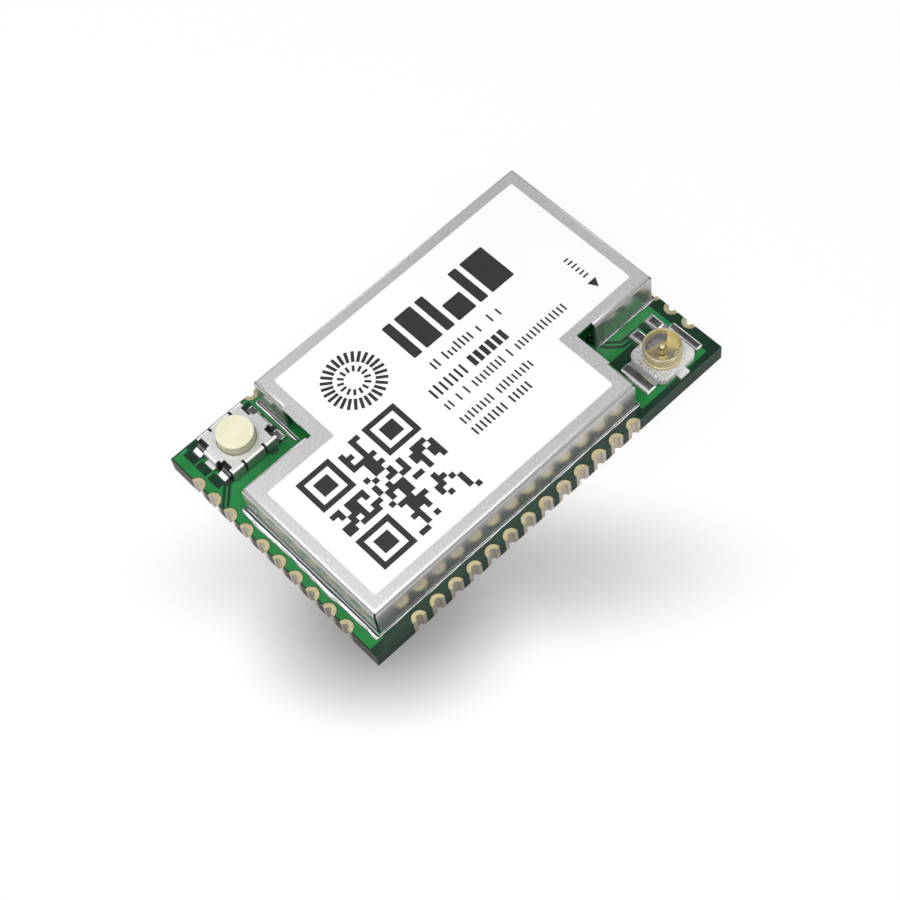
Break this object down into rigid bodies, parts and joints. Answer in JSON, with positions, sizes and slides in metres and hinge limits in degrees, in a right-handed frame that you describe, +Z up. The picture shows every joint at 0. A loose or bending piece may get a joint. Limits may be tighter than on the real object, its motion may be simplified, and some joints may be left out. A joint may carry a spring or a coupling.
{
  "type": "lora module",
  "caption": "Castellated radio module with a folded metal shield can, a label, a tact push button and a miniature coaxial antenna socket.",
  "frame": {"origin": "middle of the circuit board's underside", "axes": "+X along the long edge towards the antenna socket's end, +Y across the board towards the switch's edge, +Z up out of the board's component side"},
  "size_m": [0.023, 0.015, 0.003],
  "materials": {
    "laminate": "glass-fibre laminate, cut edge",
    "solder_mask": "green solder mask",
    "pad_gold": "gold over copper",
    "can_sheet": "satin nickel silver sheet",
    "solder": "bright solder",
    "label_film": "white label film",
    "switch_moulding": "black moulding",
    "switch_metal": "plated switch cover and legs",
    "button_plastic": "cream button",
    "dome_metal": "spring steel snap dome",
    "contact_metal": "plated contacts",
    "socket_moulding": "light grey speckled moulding",
    "socket_gold": "gold plated contact",
    "chip_black": "black chip moulding",
    "metal_lid": "metal lid on a ceramic package",
    "coil_core": "dark ferrite core",
    "capacitor_body": "tan ceramic",
    "resistor_body": "black film on ceramic",
    "inductor_body": "blue grey ceramic"
  },
  "bodies": {
    "module": {"pcb_laminate": "laminate", "solder_mask_top": "solder_mask", "solder_mask_bottom": "solder_mask", "pads_front_row": "pad_gold", "pads_left_row": "pad_gold", "pads_back_row": "pad_gold", "pads_right_row": "pad_gold", "shield_can": "can_sheet", "shield_solder": "solder", "label": "label_film", "switch_base": "switch_moulding", "switch_cover": "switch_metal", "switch_dome": "dome_metal", "switch_contacts": "contact_metal", "switch_terminals": "switch_metal", "switch_solder": "solder", "coax_shell": "socket_gold", "coax_pin": "socket_gold", "coax_housing": "socket_moulding", "coax_solder": "solder", "mcu_chip": "chip_black", "radio_chip": "chip_black", "flash_chip": "chip_black", "rf_switch_chip": "chip_black", "mcu_crystal": "metal_lid", "radio_oscillator": "metal_lid", "power_inductor": "coil_core", "capacitors": "capacitor_body", "resistors": "resistor_body", "rf_inductors": "inductor_body"},
    "button": {"switch_button": "button_plastic"}
  },
  "joints": [
    {"name": "button_press", "type": "slide", "parent": "module", "child": "button", "axis": [0, 0, -1], "range_m": [0, 0.00015], "stiffness_N_per_m": 200, "deforming": ["switch_dome"]}
  ]
}
